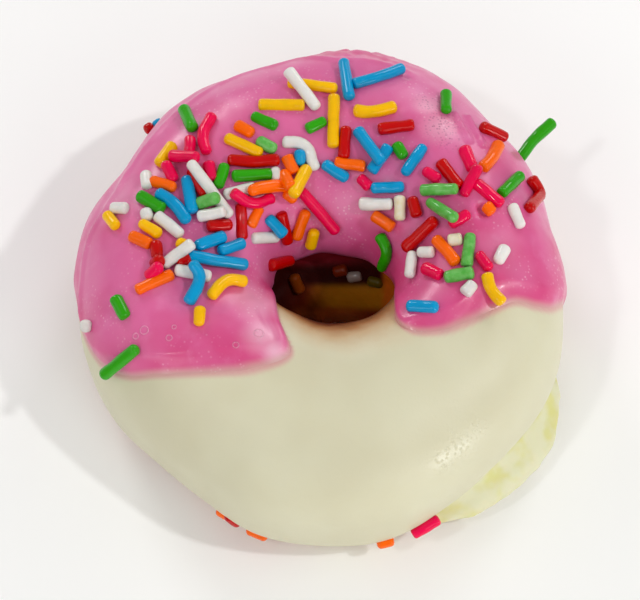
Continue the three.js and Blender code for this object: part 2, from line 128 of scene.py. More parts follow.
ON_ICING = [
    # left, from the rim to the hole
    ("green", 184, 110, 192, 127), ("pink", 190, 140, 189, 152), ("yellow", 172, 146, 160, 163),
    ("pink", 166, 165, 173, 178), ("pink", 173, 156, 195, 157),
    ("pink", 211, 117, 202, 134, 206, 150), ("white", 146, 176, 147, 184),
    ("orange", 154, 181, 172, 187), ("green", 142, 197, 160, 207),
    ("blue", 160, 194, 174, 203, 186, 219), ("blue", 187, 180, 192, 209),
    ("red", 193, 172, 204, 192), ("pink", 209, 166, 211, 177), ("white", 192, 165, 228, 213),
    ("green", 224, 168, 219, 184), ("pale_green", 201, 203, 215, 198),
    ("white", 202, 216, 221, 212), ("white", 115, 208, 124, 208), ("yellow", 108, 216, 115, 225),
    ("white", 146, 213, 147, 216), ("white", 159, 217, 179, 233), ("yellow", 143, 224, 157, 233),
    ("orange", 134, 237, 147, 243), ("red", 156, 245, 157, 255), ("yellow", 180, 243, 184, 245),
    ("white", 190, 245, 166, 263), ("red", 155, 263, 159, 261), ("pink", 150, 275, 158, 267),
    ("red", 181, 261, 186, 259), ("orange", 139, 289, 170, 275), ("white", 179, 270, 207, 276),
    ("blue", 193, 256, 215, 260, 243, 264), ("blue", 194, 265, 201, 278, 190, 300),
    ("blue", 199, 245, 222, 237), ("blue", 223, 250, 240, 244),
    ("yellow", 213, 294, 226, 279, 243, 281), ("yellow", 200, 310, 199, 322),
    ("red", 211, 226, 228, 225), ("red", 241, 208, 242, 235), ("white", 228, 194, 252, 188),
    ("orange", 253, 190, 268, 186, 286, 186), ("pink", 235, 194, 252, 205, 270, 199),
    ("white", 275, 171, 277, 177), ("green", 236, 176, 268, 174), ("yellow", 229, 139, 258, 152),
    ("red", 232, 160, 252, 162, 275, 160), ("orange", 239, 126, 250, 132),
    ("green", 256, 117, 273, 125), ("pale_green", 261, 142, 272, 148),
    ("orange", 258, 211, 252, 223), ("red", 282, 216, 287, 240), ("blue", 270, 220, 282, 233),
    ("white", 254, 238, 275, 237), ("orange", 305, 214, 297, 236), ("yellow", 314, 233, 311, 245),
    ("red", 272, 265, 289, 261), ("orange", 284, 175, 290, 186), ("orange", 288, 159, 293, 170),
    ("orange", 287, 194, 293, 199), ("yellow", 306, 170, 294, 193), ("blue", 300, 154, 300, 161),
    ("white", 287, 142, 306, 144, 314, 166), ("pink", 303, 193, 335, 230),
    ("green", 117, 301, 124, 314), ("white", 86, 324, 86, 328), ("green", 105, 374, 134, 350),
    # top, from the rim to the hole
    ("yellow", 263, 105, 300, 105), ("yellow", 292, 83, 333, 88), ("white", 290, 73, 315, 105),
    ("blue", 357, 83, 378, 77, 400, 69), ("blue", 344, 63, 349, 95), ("yellow", 334, 99, 333, 143),
    ("yellow", 357, 111, 375, 112, 393, 107), ("green", 310, 128, 322, 122),
    ("red", 346, 130, 344, 155), ("red", 382, 129, 410, 125), ("green", 446, 94, 446, 109),
    ("blue", 326, 165, 345, 177), ("orange", 339, 163, 361, 166), ("blue", 387, 149, 373, 169),
    ("blue", 359, 132, 380, 160), ("green", 398, 147, 402, 154), ("blue", 422, 149, 406, 171),
    ("pink", 362, 180, 367, 185), ("blue", 375, 188, 400, 187), ("white", 363, 204, 389, 204),
    ("cream", 400, 200, 400, 216), ("red", 413, 201, 416, 213), ("orange", 376, 217, 390, 226),
    ("green", 381, 238, 388, 252, 382, 267),
    # right, from the rim to the hole
    ("red", 485, 128, 503, 136), ("pink", 465, 150, 472, 168),
    ("orange", 498, 146, 493, 157, 484, 167), ("red", 442, 164, 458, 185),
    ("pink", 478, 185, 499, 202), ("pink", 477, 169, 465, 192), ("pink", 427, 172, 436, 178),
    ("pale_green", 425, 190, 453, 189), ("pink", 453, 223, 466, 215),
    ("pale_green", 431, 203, 453, 217), ("green", 519, 177, 503, 192),
    ("orange", 488, 208, 490, 210), ("white", 513, 208, 520, 224),
    ("red", 533, 181, 541, 193, 530, 207), ("red", 433, 222, 407, 247),
    ("white", 422, 252, 430, 252), ("white", 412, 256, 410, 273), ("orange", 437, 240, 455, 261),
    ("cream", 452, 240, 458, 239), ("pale_green", 470, 238, 467, 262),
    ("pale_green", 448, 277, 470, 273), ("pink", 427, 269, 438, 274), ("pink", 480, 256, 488, 266),
    ("white", 504, 250, 499, 259), ("white", 471, 286, 467, 291),
    ("yellow", 488, 278, 491, 290, 500, 300), ("blue", 411, 306, 434, 307),
]
AT_RIM = [
    ("green", 521, 157, 534, 139, 551, 124), ("blue", 157, 125, 159, 124),
    ("red", 148, 129, 150, 128),
]
AT_FOOT = [
    ("orange", 222, 510, 226, 514), ("red", 230, 516, 237, 520), ("orange", 252, 528, 264, 533),
    ("orange", 380, 543, 389, 541), ("pink", 414, 533, 434, 526),
]
IN_HOLE = [
    ("white", 352, 277, 357, 276), ("red", 338, 271, 343, 270), ("green", 372, 281, 379, 283),
    ("orange", 294, 278, 299, 289),
]
PALE_KINDS = {"pale_green": "green", "cream": "white"}  # paler shades of these colours

# ---------- Steps and relief of the fine meshes ----------

PLAN_STEPS = 400
SIDE_STEPS = 44
TOP_STEPS = 16
WALL_STEPS = 44
WHITE_STEPS = 100
PINK_STEPS_ALONG = 330
PINK_STEPS_ACROSS = 112
LIP_STEPS = 8  # round each rounded lip of a coat
LIP_START = 0.06  # thickness of a coat's very edge, against the full one
WHITE_LIP = 0.035  # share of a coat's width that its rounded lip takes
PINK_LIP = 0.03
PINK_END_LIP = 0.012
PINK_END_WIDTHS = [3.4, 1.2]  # that the coat's ends thin out over, at the rim and by the hole
PINK_END_TURN = [104, 116]  # section angles between which the one becomes the other
PINK_FADE = 1.5  # width over which the pink turns to cream, inside its end
PINK_TINGE = 1.2  # and outside it
SECTION_RADIUS = 16.5  # about that of the ring's section
OVERLAP = 0.1  # depth that one coat is sunk in the next, so that no gap shows

SPRINKLE_SIDES = 16
SPRINKLE_BODY_STEPS = 9
SPRINKLE_END_STEPS = 5
SPRINKLE_SEED = 100  # of the first colour's sizes and forms
SPRINKLE_BLUNTNESS = [2.1, 2.3, 2.6, 3.4]  # 2 gives a round end, more a flatter one
BEND_REACH = 3.0  # length that the bend of a bent one takes up on either side
BEND_MOST = 0.92  # share of its arms that the bend may take up
BEND_FULLNESS = 0.5  # how far the bend is pushed out towards its corner

# The raised line that runs inside the far rim of the pink icing, as plan and section angles.
RIM_LINE = [
    (62, 49), (71, 50), (78, 52), (86, 51), (91, 45), (96, 38), (103, 39), (110, 36), (118, 40),
    (126, 45), (138, 48), (145, 45), (151, 44), (158, 47), (164, 44), (170, 34), (176, 28),
    (186, 25), (198, 20),
]
# Folds in the pink icing: both ends seen from above, half width and height.
FOLDS = [
    ((23.0, 27.6), (25.2, 21.4), 0.8, 0.6), ((25.2, 27.4), (27.2, 21.0), 0.8, 0.7),
    ((14.4, 35.6), (15.0, 35.0), 0.6, -0.3),
    ((27.0, 8.4), (27.5, 7.6), 1.3, -1.1), ((25.3, 9.4), (26.0, 7.6), 0.7, 0.3),
]
# Burst bubbles in the pink icing: a photo pixel, and the radius in millimetres.
BUBBLES = [
    (144.6, 330.7, 0.75), (136.4, 336.6, 0.6), (169, 338, 0.5), (235.8, 345, 0.5),
    (174, 327, 0.35), (259, 333, 0.8),
]

# ---------- Painted places ----------

PALE_BAND_HEIGHT = 8.5  # of the pale band round the side of the dough
PALE_BULGE_ENDS = (BULGE_PLAN_WIDTH + 12, BULGE_PLAN_WIDTH - 8)  # where its pale shade fades
# Where the cream icing starts and ends turning brown on its way into the hole, as section angles.
INTO_HOLE_PLANS = [180, 215, 240, 277, 300, 330, 360]
INTO_HOLE_START = [140, 128, 119, 108, 99, 87, 80]
INTO_HOLE_END = [165, 160, 157, 151, 155, 168, 188]
# Painted shade on the sprinkles in the hole: how far each colour is darkened to brown.
HOLE_SPRINKLE_SHADE = {"white": 0.6, "red": 0.75, "green": 0.85, "orange": 0.85}  # the sprinkles in the hole
# The photo's pixels between which the painted shade and painted light in the hole change: down,
# then across.
WINE_ENDS = (256, 270)
DARK_ENDS = (281, 290)
SUNNY_ENDS = (304, 314)
DARK_LEFT_OF = (276, 326)
SUNNY_FROM = (300, 338)
LIT_FROM = (379, 387)
LOW_PAINTED_LIGHT = (330, 45)  # middle and width, across
WINE_PLAN = (95, 75)  # middle and width, as plan angles

# Round places on the icing: a photo pixel, the reach in millimetres and the strength.
# Paler places on the pink: painted highlights, partly over thinner icing.
PAINTED_HIGHLIGHTS = [
    (274, 348, 3.4, 0.8), (262, 335, 5.0, 0.5), (258, 300, 6.5, 0.35), (427, 104, 4.0, 0.4),
    (438, 128, 5.0, 0.4), (120, 200, 7.0, 0.25), (500, 245, 6.0, 0.15),
]
# Darker places on the pink: painted shade.
PAINTED_SHADES = [
    (470, 222, 2.0, 0.6), (405, 256, 5.0, 0.6), (490, 300, 7.0, 0.8), (545, 285, 7.0, 0.8),
    (430, 318, 5.0, 0.8), (449, 126, 5.0, 0.9),
]
# Painted shade in the hollow of the crater.
CRATER = [(478, 210, 1.4, 0.7)]
POROUS = [(430, 102, 4.0, 0.9), (441, 125, 5.0, 1.0), (449, 141, 3.5, 0.9)]
# Places where the pink is paler, with light specks painted as glints.
SPECKLED = [
    (x, y, 5.0, 1.0) for x, y in
    [(258, 262), (255, 285), (256, 310), (418, 90), (440, 100), (446, 130), (345, 205), (521, 272)]
]
SHEEN = [(445, 460, 5.0, 1.0), (460, 445, 6.0, 1.0), (476, 428, 5.0, 0.8)]

# ---------- Numbers ----------


def mix(start, end, share):
    return start + (end - start) * share


def smooth(value, start, end):
    """A soft rise from 0 at the start to 1 at the end."""
    share = np.clip((value - start) / (end - start), 0, 1)
    return share * share * (3 - 2 * share)


def bump(value, middle, width):
    """1 at the middle, falling softly to 0 at a width from it."""
    return 1 - smooth(np.abs(value - middle), 0, width)


def turn(start, end):
    """The turn from one plan angle to another, between -180 and 180 degrees."""
    return (end - start + 180) % 360 - 180


def power(value, roundness):
    """A sine or cosine, bent to a roundness."""
    return np.sign(value) * np.abs(value) ** (2 / roundness)


def around(values, angle):
    """The value at a plan angle of a list that goes round the ring at equal angles."""
    values = np.asarray(values, float)
    count = len(values)
    place = (np.asarray(angle, float) / 360 * count) % count
    index = np.floor(place).astype(int)
    before, start, end, after = (values[(index + step) % count] for step in (-1, 0, 1, 2))
    t = place - index
    slope = end - before
    bend = 2 * before - 5 * start + 4 * end - after
    twist = after - before + 3 * (start - end)
    return start + 0.5 * t * (slope + t * (bend + t * twist))


def along(values, section):
    """The value at a section angle of a list that is given at the stations of the pink ends."""
    values, stations = np.asarray(values, float), np.asarray(PINK_END_STATIONS, float)
    inner = (values[2:] - values[:-2]) / (stations[2:] - stations[:-2])
    ends = np.diff(values)[[0, -1]] / np.diff(stations)[[0, -1]]
    slopes = np.concatenate([ends[:1], inner, ends[1:]])
    index = np.clip(np.searchsorted(stations, section) - 1, 0, len(stations) - 2)
    step = stations[index + 1] - stations[index]
    t = np.clip((section - stations[index]) / step, 0, 1)
    start, end = slopes[index] * step, slopes[index + 1] * step
    bend = 3 * (values[index + 1] - values[index]) - 2 * start - end
    twist = start + end - 2 * (values[index + 1] - values[index])
    return values[index] + t * (start + t * (bend + t * twist))


def unit(vectors):
    return vectors / np.linalg.norm(vectors, axis=-1, keepdims=True)


def waves(points, size, seed, count=24):
    """Smooth noise with waves of about a size, between about -2 and 2, the same on each run."""
    rng = np.random.default_rng(seed)
    directions = unit(rng.normal(size=(count, 3)))
    lengths = size * rng.uniform(0.7, 1.5, count)
    phases = rng.uniform(0, 2 * math.pi, count)
    turns = points @ (directions * (2 * math.pi / lengths[:, None])).T + phases
    return np.sin(turns).sum(axis=-1) / math.sqrt(count / 2)


# ---------- The form of the ring ----------


def polar(plan, radius, height):
    angle = np.radians(plan)
    return np.stack(np.broadcast_arrays(radius * np.cos(angle), radius * np.sin(angle), height), -1)


def ring_point(plan, section, inset):
    """A point of the ring at a plan and a section angle, a distance inside the white face."""
    outer = around(OUTER_RADII, plan) - inset
    hole = around(HOLE_RADII, plan) + inset
    sine = np.sin(np.radians(section))
    roundness = np.where(sine > 0, ROUNDNESS, ROUNDNESS_BELOW)
    across = power(np.cos(np.radians(section)), roundness)
    up = power(sine, roundness)
    radius = (outer + hole) / 2 + (outer - hole) / 2 * across
    height = np.where(up > 0, (CROWN - inset - WAIST) * up, WAIST * BASE_OVERRUN * up)
    return polar(plan, radius, np.maximum(0, WAIST + height))


def shares(count, end=False):
    """Equal steps from 0 to 1, with or without the last one."""
    return np.linspace(0, 1, count + 1)[: None if end else -1]


def lip_shares(count, lip):
    """Shares across a coat, close together at its two rounded lips, and its fullness there."""
    angle = np.linspace(0, math.pi / 2, LIP_STEPS + 1)[:-1]
    start = lip * (1 - np.cos(angle))
    middle = np.linspace(lip, 1 - lip, count - 2 * LIP_STEPS + 1)
    full = mix(LIP_START, 1, np.sin(angle))
    places = np.concatenate([start, middle, 1 - start[::-1]])
    return places, np.concatenate([full, np.ones(len(middle)), full[::-1]])


# ---------- Relief ----------


def white_relief(points, section):
    return (0.12 * waves(points, 21, 3) + 0.015 * waves(points, 7, 4)) * smooth(section, -20, 10)


def rim_relief(points, plan, section):
    """A raised line inside the far rim, and small dents outside it at the back."""
    line = np.interp(plan, *np.transpose(RIM_LINE))
    fade = smooth(plan, 62, 72) * smooth(plan, 198, 188)
    raised = 0.3 * bump(section, line, 4.5) - 0.14 * bump(section, line - 7, 6)
    dents = 0.16 * waves(points, 2.8, 14) * smooth(section, line, line - 4) * bump(plan, 82, 18)
    return raised * fade + dents


def fold_relief(points):
    height = 0
    for start, end, width, rise in FOLDS:
        start, way = np.array(start), np.subtract(end, start)
        share = np.clip(((points[..., :2] - start) @ way) / (way @ way), 0, 1)
        distance = np.linalg.norm(points[..., :2] - start - share[..., None] * way, axis=-1)
        height = height + rise * bump(distance, 0, width) * (points[..., 2] > WAIST)
    return height


def pink_relief(points, plan, section, left_gap):
    soft = 0.17 * waves(points, 17, 5) + 0.035 * waves(points, 6, 6)
    bead = 0.16 * bump(left_gap, 1.4, 1.3) - 0.12 * bump(left_gap, 3.2, 1.4)
    bead = bead * smooth(section, 100, 112) * smooth(section, 172, 150)
    return soft + rim_relief(points, plan, section) + fold_relief(points) + bead


def dough_relief(points):
    return 0.22 * waves(points, 13, 7) + 0.1 * waves(points, 4.5, 8) + 0.05 * waves(points, 1.9, 9)


def sprinkle_relief(points):
    return 0.035 * waves(points, 3.2, 12)


# ---------- Grids of points ----------


def dough_grid():
    """Rows of points, one row for each plan angle: up the side, over the top, down the hole."""
    inset = WHITE_THICKNESS + GAP
    plan = shares(PLAN_STEPS)[:, None] * 360
    edge = around(WHITE_OUTER_EDGE, plan) - BULGE_START

    share = shares(SIDE_STEPS)[None, :]
    bulge = BULGE_REACH * bump(turn(BULGE_PLAN, plan), 0, BULGE_PLAN_WIDTH)
    bulge = bulge * bump(1 - share, BULGE_DOWN, BULGE_DOWN_WIDTH)
    side = ring_point(plan, mix(-90, edge, share), inset)
    relief = dough_relief(side) * smooth(side[..., 2], 0, 2)
    side = polar(plan, np.hypot(side[..., 0], side[..., 1]) + bulge + relief, side[..., 2])

    top = ring_point(plan, mix(edge, 180, shares(TOP_STEPS)[None, :]), inset)

    hole = around(HOLE_RADII, plan) + inset
    base_hole = around(BASE_HOLE_RADII, plan)
    middle = (around(OUTER_RADII, plan) - inset + hole) / 2
    share = shares(WALL_STEPS, end=True)[None, :]
    radius = mix(hole, base_hole, smooth(share, 0, 1))
    height = mix(WAIST, WALL_FOOT, share)
    wall = polar(plan, radius, height)
    radius = radius - dough_relief(wall) * smooth(share, 0, 0.2) * smooth(share, 1, 0.8)
    wall = polar(plan, radius, height)
    under = polar(plan, mix(base_hole, middle, UNDER_SHARE), 0)
    return np.concatenate([side, top, wall, under], axis=1)


def coat_grid(plan, section, outer_inset, inner_inset):
    outer = ring_point(plan, section, outer_inset)
    inner = ring_point(plan, section, inner_inset)
    return np.concatenate([outer, inner[:, ::-1]], axis=1)


def white_grid():
    plan = shares(PLAN_STEPS)[:, None] * 360
    share, full = lip_shares(WHITE_STEPS, WHITE_LIP)
    section = mix(around(WHITE_OUTER_EDGE, plan), around(WHITE_HOLE_EDGE, plan), share[None, :])
    plan = np.broadcast_to(plan, section.shape)
    relief = white_relief(ring_point(plan, section, 0), section) * smooth(full, 0.2, 1)
    inner = WHITE_THICKNESS + GAP + OVERLAP
    return coat_grid(plan, section, inner - (inner + relief) * full, inner), plan, section


def distance_from(end, turned, section, points):
    """The distance across the icing from an end of the pink coat, for turns in plan from it."""
    slope = (along(end, section + 1) - along(end, section - 1)) / 2
    radius = np.hypot(points[..., 0], points[..., 1])
    return np.radians(turned) * radius / np.hypot(1, slope * radius / SECTION_RADIUS)


def pink_places():
    """Rows across the pink coat: points, angles, fullness, and the gaps to its two ends."""
    share, full_across = lip_shares(PINK_STEPS_ACROSS, PINK_LIP)
    share_along = lip_shares(PINK_STEPS_ALONG, PINK_END_LIP)[0][:, None]

    def plan_at(section):
        return mix(along(PINK_RIGHT_END, section), along(PINK_LEFT_END, section), share_along)

    start = around(WHITE_OUTER_EDGE, plan_at(0.0)) + PINK_OUTER_INSET
    end = around(WHITE_HOLE_EDGE, plan_at(180.0)) - PINK_HOLE_INSET
    section = mix(start, end, share[None, :])
    plan = plan_at(section)
    points = ring_point(plan, section, 0)
    right, left = along(PINK_RIGHT_END, section), along(PINK_LEFT_END, section)
    right_gap = distance_from(PINK_RIGHT_END, plan - right, section, points)
    left_gap = distance_from(PINK_LEFT_END, left - plan, section, points)
    by_hole = smooth(section, *PINK_END_TURN) * smooth(section, 165, 145)
    away = np.clip(np.minimum(right_gap, left_gap) / mix(*PINK_END_WIDTHS, by_hole), 0, 1)
    full_along = mix((away + smooth(away, 0, 1)) / 2, np.sqrt(1 - (1 - away) ** 2), by_hole)
    full = mix(LIP_START, 1, full_along) * full_across[None, :]
    return points, plan, section, full, right_gap, left_gap


def pink_grid(points, plan, section, full, left_gap):
    relief = pink_relief(points, plan, section, left_gap) * smooth(full, 0.2, 1)
    under = OVERLAP - white_relief(points, section)
    height = GAP + PINK_THICKNESS + OVERLAP + relief
    return coat_grid(plan, section, under - height * full, under)


def cad_white_corner():
    """The highest corner of the box of the CAD model's white icing, about the ring's axis."""
    plan = shares(CAD_PLAN_STEPS)[:, None] * 360
    steps = np.linspace(CAD_LIP_SHARE, 1 - CAD_LIP_SHARE, CAD_COAT_STEPS - 1)
    share = np.concatenate([[0], steps, [1]])[None, :]
    full = np.where(share % 1 == 0, CAD_LIP_THICKNESS, 1)
    section = mix(around(WHITE_OUTER_EDGE, plan), around(WHITE_HOLE_EDGE, plan), share)
    outer = ring_point(plan, section, WHITE_THICKNESS * (1 - full))
    return outer.reshape(-1, 3).max(axis=0)


corner = np.array(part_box("white_icing")[1]) / MM
OFFSET = (corner - cad_white_corner()) * (1, 1, 0)


def placed(points):
    """Points about the ring's axis, in millimetres, as points of the frame, in metres."""
    return (np.asarray(points, float) + OFFSET) * MM


# ---------- Meshes ----------


def new_object(name, data):
    thing = bpy.data.objects.new(name, data)
    bpy.context.scene.collection.objects.link(thing)
    return thing


def mesh_object(name, points, faces, material):
    mesh = bpy.data.meshes.new(name)
    mesh.from_pydata(placed(points).tolist(), [], faces)
    mesh.validate()
    mesh.polygons.foreach_set("use_smooth", [True] * len(mesh.polygons))
    mesh.materials.append(material)
    return new_object(name, mesh)


def skin_faces(rows, columns, goes_round, first=0):
    """Faces that join rows of points, each row a closed loop, into a closed skin."""
    row = np.arange(rows if goes_round else rows - 1)[:, None]
    here, there = row * columns, (row + 1) % rows * columns
    column = np.arange(columns)[None, :]
    after = (column + 1) % columns
    corners = [here + column, there + column, there + after, here + after]
    faces = (np.stack(np.broadcast_arrays(*corners), -1).reshape(-1, 4) + first).tolist()
    if not goes_round:
        far = first + (rows - 1) * columns
        for rung in range(columns // 2 - 1):
            ladder = [rung, rung + 1, columns - 2 - rung, columns - 1 - rung]
            faces.append([first + corner for corner in ladder])
            faces.append([far + corner for corner in reversed(ladder)])
    return faces


def skin(name, grid, goes_round, material):
    rows, columns = grid.shape[:2]
    return mesh_object(name, grid.reshape(-1, 3), skin_faces(rows, columns, goes_round), material)


def paint(piece, name, values):
    """Stores a number for each point, which the piece's material reads by name."""
    attribute = piece.data.attributes.new(name, "FLOAT", "POINT")
    attribute.data.foreach_set("value", np.asarray(values, np.float32).ravel())


# ---------- Sprinkles ----------

TO_EYE = np.array([0, -math.cos(EYE_TILT), math.sin(EYE_TILT)])
SHEET_RIGHT = np.array([1.0, 0, 0])
SHEET_UP = np.array([0, math.sin(EYE_TILT), math.cos(EYE_TILT)])
RING_MIDDLE = np.array([0, 0, float(WAIST)])
EYE = RING_MIDDLE + TO_EYE * EYE_DISTANCE


def sheet_point(pixel):
    right, down = np.subtract(pixel, SHEET_MIDDLE) * SHEET_GRID
    return RING_MIDDLE + right * SHEET_RIGHT - down * SHEET_UP


def on_level(pixel, level):
    """The point of a level that a pixel is thrown onto."""
    direction = sheet_point(pixel) - EYE
    return EYE + direction * (level - EYE[2]) / direction[2]


def at_rim(pixel):
    return on_level(pixel, RIM_LEVEL)


def throw_onto(grid):
    """Throws pixels from the eye onto a skin, or, where they miss it, onto the rim's level."""
    rows, columns = grid.shape[:2]
    tree = BVHTree.FromPolygons(grid.reshape(-1, 3).tolist(), skin_faces(rows, columns, True))

    def throw(pixel):
        hit = tree.ray_cast(Vector(EYE), Vector(sheet_point(pixel) - EYE).normalized())[0]
        return at_rim(pixel) if hit is None else np.array(hit)

    return throw


def throw_onto_icing(height):
    """Throws pixels onto the whole ring, a height above the white icing's face."""
    plan = shares(PLAN_STEPS)[:, None] * 360
    return throw_onto(ring_point(plan, plan.T, -height))


def at_foot(pixel):
    """The point at the foot of the white icing's face that a pixel is thrown next to."""
    x, y, _ = on_level(pixel, FOOT_LEVEL)
    plan = math.degrees(math.atan2(y, x))
    section = around(WHITE_OUTER_EDGE, plan) + FOOT_RISE
    face = ring_point(plan, section, 0)
    x, y, _ = on_level(pixel, face[2])
    proud = math.hypot(x, y) - math.hypot(face[0], face[1])
    return ring_point(plan, section, -min(max(proud, FOOT_PROUD[0]), FOOT_PROUD[1]))


def pixels(points):
    """The photo's pixels that points are seen at: two arrays, across and down."""
    away = points - EYE
    on_sheet = EYE - RING_MIDDLE + away * (EYE_DISTANCE / -(away @ TO_EYE))[..., None]
    across = SHEET_MIDDLE[0] + on_sheet @ SHEET_RIGHT / SHEET_GRID
    return across, SHEET_MIDDLE[1] - on_sheet @ SHEET_UP / SHEET_GRID


def nearness(points):
    """How far points stand out from the sheet."""
    return (points - RING_MIDDLE) @ TO_EYE


def place_along(places, share):
    reach = share * (len(places) - 1)
    index = min(int(reach), len(places) - 2)
    return mix(places[index], places[index + 1], reach - index)


def closest(first, second):
    """Where two lines on the sheet come closest: the distance, and the share along each."""
    tries = shares(CLOSEST_TRIES, end=True)
    on_first = np.array([place_along(first, share) for share in tries])
    on_second = np.array([place_along(second, share) for share in tries])
    distance = np.linalg.norm(on_first[:, None] - on_second[None, :], axis=-1) * SHEET_GRID
    i, j = np.unravel_index(distance.argmin(), distance.shape)
    return distance[i, j], tries[i], tries[j]


def lift_end(lifts, share, height):
    """Lifts the end that a crossing is near, or both, to raise the line there."""
    if share > 1 - MIDDLE_SHARE:
        lifts[1] += height / share
    elif share < MIDDLE_SHARE:
        lifts[0] += height / (1 - share)
    else:
        lifts += height


def settle(layout, throw):
    """The lines of sprinkles in space, lifted until they clear the icing and each other."""
    settled = []
    for _, *numbers in layout:
        places = np.array(numbers, float).reshape(-1, 2)
        points = np.array([throw(place) for place in places])
        near = nearness(points)
        lifts = np.zeros(2)
        if len(places) == 2:
            lifts += max(0, nearness(throw(place_along(places, 0.5))) - near.mean() - SAG)
        for other_places, _, other_heights in settled:
            distance, on_first, on_second = closest(places, other_places)
            if distance >= CROSSING:
                continue
            height = place_along(near, on_first) + mix(*lifts, on_first)
            missing = place_along(other_heights, on_second) + PILE - height
            if missing > 0:
                lift_end(lifts, on_first, missing)
        lift = mix(*np.minimum(lifts, MOST_LIFT), shares(len(points) - 1, end=True))
        line = points + unit(EYE - points) * lift[:, None]
        settled.append((places, line, nearness(line)))
    return [line for _, line, _ in settled]


def curve_points(line, count):
    """Points along a line of two points, or along one of three with its corner rounded off."""
    if len(line) == 2:
        return mix(line[0], line[1], shares(count, end=True)[:, None])
    start, corner, end = line
    arms = [point - corner for point in (start, end)]
    near, far = (corner + arm * min(BEND_MOST, BEND_REACH / np.linalg.norm(arm)) for arm in arms)
    control = corner + BEND_FULLNESS * (corner - (near + far) / 2)
    share = shares(count - 2, end=True)[:, None]
    bend = (1 - share) ** 2 * near + 2 * share * (1 - share) * control + share**2 * far
    return np.concatenate([[start], bend, [end]])


def rod_loops(line, rng):
    """Loops of points round a rod with blunt rounded ends, a little uneven in size and form."""
    radius = SPRINKLE_RADIUS * rng.uniform(0.93, 1.06)
    end_length = SPRINKLE_END * rng.uniform(0.85, 1.1)
    bluntness = rng.choice(SPRINKLE_BLUNTNESS)
    taper = rng.uniform(-0.09, 0.09)
    centres = curve_points(line, SPRINKLE_BODY_STEPS)
    ways = unit(np.gradient(centres, axis=0))
    reach = np.sin(np.linspace(0, math.pi / 2, SPRINKLE_END_STEPS + 1))[1:]
    narrow = (1 - np.minimum(reach, 0.999) ** bluntness) ** (1 / bluntness)
    start = centres[0] - ways[0] * (reach * end_length)[::-1, None]
    end = centres[-1] + ways[-1] * (reach * end_length)[:, None]
    middles = np.concatenate([start, centres, end])
    ways = np.concatenate([[ways[0]] * len(reach), ways, [ways[-1]] * len(reach)])
    radii = radius * np.concatenate([narrow[::-1], np.ones(len(centres)), narrow])
    radii = radii * np.linspace(1 - taper, 1 + taper, len(radii))
    side = unit(np.cross(ways, TO_EYE))
    top = np.cross(side, ways)
    angle = shares(SPRINKLE_SIDES)[None, :, None] * 2 * math.pi
    spokes = side[:, None] * np.cos(angle) + top[:, None] * np.sin(angle)
    loops = middles[:, None] + spokes * radii[:, None, None]
    return loops + spokes * sprinkle_relief(loops)[..., None]


def sprinkle_piece(name, rods, seed):
    """One piece of all the sprinkles of a colour. Each rod is a line, how pale and how much painted
    shade it has.
    """
    rng = np.random.default_rng(seed)
    points, faces, paints = [], [], []
    for line, *marks in rods:
        loops = rod_loops(line, rng)
        rows, columns = loops.shape[:2]
        faces += skin_faces(rows, columns, False, first=len(points) * rows * columns)
        points.append(loops.reshape(-1, 3))
        paints += [(rng.uniform(), *marks)] * (rows * columns)
    piece = mesh_object(f"sprinkles_{name}", np.concatenate(points), faces, sugar(name))
    for key, values in zip(("tint", "pale", "painted_hole_shade"), np.transpose(paints)):
        paint(piece, key, values)
    return piece


# ---------- Materials ----------


